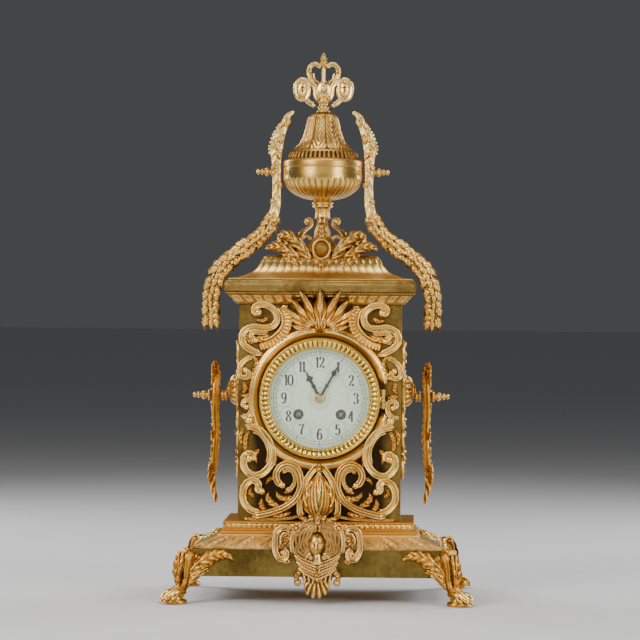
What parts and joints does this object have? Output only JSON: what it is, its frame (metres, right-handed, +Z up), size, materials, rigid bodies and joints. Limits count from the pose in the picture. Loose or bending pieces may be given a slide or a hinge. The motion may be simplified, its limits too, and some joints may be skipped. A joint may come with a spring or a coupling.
{
  "type": "mantel clock",
  "caption": "Gilt brass mantel clock on paw feet: stepped plinth, square case with scroll mounts, round enamel dial, striking movement, and an urn with garland handles on top.",
  "frame": {"origin": "on the table, midway between the four paw feet", "axes": "+Z up, -Y towards the viewer of the dial, +X to the right as the dial is read"},
  "size_m": [0.266, 0.212, 0.478],
  "materials": {
    "gilt_ornament": "cast and gilt, burnished on the high points",
    "plate_brass": "worn satin with brown tarnish",
    "bowl_brass": "turned satin",
    "enamel": "glossy fired enamel",
    "blued_steel": "blued, nearly black",
    "glass": "clear, bevelled",
    "movement_brass": "machined",
    "steel": "bright",
    "bell_metal": "turned, unlacquered"
  },
  "bodies": {
    "case": {"plinth_apron": "plate_brass", "plinth_leaf_band": "gilt_ornament", "plinth_step": "plate_brass", "paw_feet_front": "gilt_ornament", "paw_feet_rear": "gilt_ornament", "mask_mount": "gilt_ornament", "side_shells": "gilt_ornament", "case_front_plate": "plate_brass", "case_back_plate": "plate_brass", "case_sides": "plate_brass", "tie_rods": "steel", "cornice": "plate_brass", "caddy_top": "plate_brass", "side_reliefs": "gilt_ornament", "side_handle_left": "gilt_ornament", "side_handle_right": "gilt_ornament", "handle_screws": "bowl_brass", "front_scroll_mount": "gilt_ornament", "dial_pan": "bowl_brass", "door_hinge": "bowl_brass", "dial": "enamel", "movement_front_plate": "movement_brass", "movement_back_plate": "movement_brass", "movement_pillars": "movement_brass", "bell": "bell_metal", "bell_stand": "steel", "rear_ring": "plate_brass", "acanthus_cartouche": "gilt_ornament", "urn_foot": "gilt_ornament", "urn_stem": "bowl_brass", "urn_bowl": "bowl_brass", "urn_lid": "gilt_ornament", "crown_finial": "gilt_ornament", "garland_left": "gilt_ornament", "garland_right": "gilt_ornament", "garland_screws": "bowl_brass"},
    "front_door": {"bezel_ring": "gilt_ornament", "door_glass": "glass", "sight_ring": "gilt_ornament"},
    "rear_door": {"rear_door": "plate_brass"},
    "minute_hand": {"minute_hand": "blued_steel", "hand_collet": "bowl_brass", "cannon_pinion": "movement_brass"},
    "hour_hand": {"hour_hand": "blued_steel", "hour_wheel": "movement_brass"},
    "minute_wheel": {"minute_wheel": "movement_brass"},
    "going_barrel": {"going_barrel": "movement_brass"},
    "going_winding_arbor": {"going_winding_arbor": "steel"},
    "strike_barrel": {"strike_barrel": "movement_brass"},
    "strike_winding_arbor": {"strike_winding_arbor": "steel"},
    "intermediate_arbor": {"intermediate_arbor": "movement_brass"},
    "centre_arbor": {"centre_arbor": "movement_brass"},
    "third_arbor": {"third_arbor": "movement_brass"},
    "escape_arbor": {"escape_arbor": "movement_brass"},
    "strike_arbor": {"strike_arbor": "movement_brass"},
    "fly_arbor": {"fly_arbor": "movement_brass"},
    "pendulum": {"anchor_and_crutch": "steel", "pendulum_rod": "steel", "pendulum_bob": "movement_brass"},
    "bell_hammer": {"bell_hammer": "steel"}
  },
  "joints": [
    {"name": "front_door_hinge", "type": "hinge", "parent": "case", "child": "front_door", "pos_m": [0.055, -0.053, 0.175], "axis": [0, 0, 1], "range_deg": [0, 100]},
    {"name": "rear_door_hinge", "type": "hinge", "parent": "case", "child": "rear_door", "pos_m": [-0.0505, 0.05, 0.175], "axis": [0, 0, 1], "range_deg": [0, 110]},
    {"name": "minute_hand_turn", "type": "hinge", "parent": "case", "child": "minute_hand", "pos_m": [0, 0, 0.175], "axis": [0, -1, 0], "continuous": true},
    {"name": "hour_hand_turn", "type": "hinge", "parent": "case", "child": "hour_hand", "pos_m": [0, 0, 0.175], "axis": [0, -1, 0], "continuous": true},
    {"name": "minute_wheel_turn", "type": "hinge", "parent": "case", "child": "minute_wheel", "pos_m": [0, 0, 0.163], "axis": [0, -1, 0], "continuous": true},
    {"name": "going_barrel_turn", "type": "hinge", "parent": "case", "child": "going_barrel", "pos_m": [0.0184, 0, 0.1609], "axis": [0, -1, 0], "continuous": true},
    {"name": "going_winding_turn", "type": "hinge", "parent": "case", "child": "going_winding_arbor", "pos_m": [0.0184, 0, 0.1609], "axis": [0, -1, 0], "continuous": true},
    {"name": "strike_barrel_turn", "type": "hinge", "parent": "case", "child": "strike_barrel", "pos_m": [-0.0184, 0, 0.1609], "axis": [0, -1, 0], "continuous": true},
    {"name": "strike_winding_turn", "type": "hinge", "parent": "case", "child": "strike_winding_arbor", "pos_m": [-0.0184, 0, 0.1609], "axis": [0, -1, 0], "continuous": true},
    {"name": "intermediate_turn", "type": "hinge", "parent": "case", "child": "intermediate_arbor", "pos_m": [0.0147, 0, 0.18065], "axis": [0, -1, 0], "continuous": true},
    {"name": "centre_turn", "type": "hinge", "parent": "case", "child": "centre_arbor", "pos_m": [0, 0, 0.175], "axis": [0, -1, 0], "continuous": true},
    {"name": "third_turn", "type": "hinge", "parent": "case", "child": "third_arbor", "pos_m": [0, 0, 0.1902], "axis": [0, -1, 0], "continuous": true},
    {"name": "escape_turn", "type": "hinge", "parent": "case", "child": "escape_arbor", "pos_m": [0.00696, 0, 0.20135], "axis": [0, -1, 0], "continuous": true},
    {"name": "strike_turn", "type": "hinge", "parent": "case", "child": "strike_arbor", "pos_m": [-0.0147, 0, 0.18065], "axis": [0, -1, 0], "continuous": true},
    {"name": "fly_turn", "type": "hinge", "parent": "case", "child": "fly_arbor", "pos_m": [-0.0184, 0, 0.19549], "axis": [0, -1, 0], "continuous": true},
    {"name": "pendulum_swing", "type": "hinge", "parent": "case", "child": "pendulum", "pos_m": [0, 0, 0.211], "axis": [0, -1, 0], "range_deg": [-3, 3]},
    {"name": "hammer_lift", "type": "hinge", "parent": "case", "child": "bell_hammer", "pos_m": [-0.036, 0, 0.175], "axis": [0, -1, 0], "range_deg": [0, 12], "stiffness_Nm_per_rad": 0.02, "springref_deg": -14.32}
  ],
  "couplings": [
    {"joint": "hour_hand_turn", "follows": "minute_hand_turn", "ratio": 0.083333},
    {"joint": "minute_wheel_turn", "follows": "minute_hand_turn", "ratio": -0.33333},
    {"joint": "centre_turn", "follows": "third_turn", "ratio": -0.11111},
    {"joint": "intermediate_turn", "follows": "third_turn", "ratio": 0.018519},
    {"joint": "going_barrel_turn", "follows": "third_turn", "ratio": -0.002572},
    {"joint": "escape_turn", "follows": "third_turn", "ratio": -9.4286},
    {"joint": "strike_barrel_turn", "follows": "strike_turn", "ratio": -0.13889},
    {"joint": "fly_turn", "follows": "strike_turn", "ratio": -7.5}
  ]
}
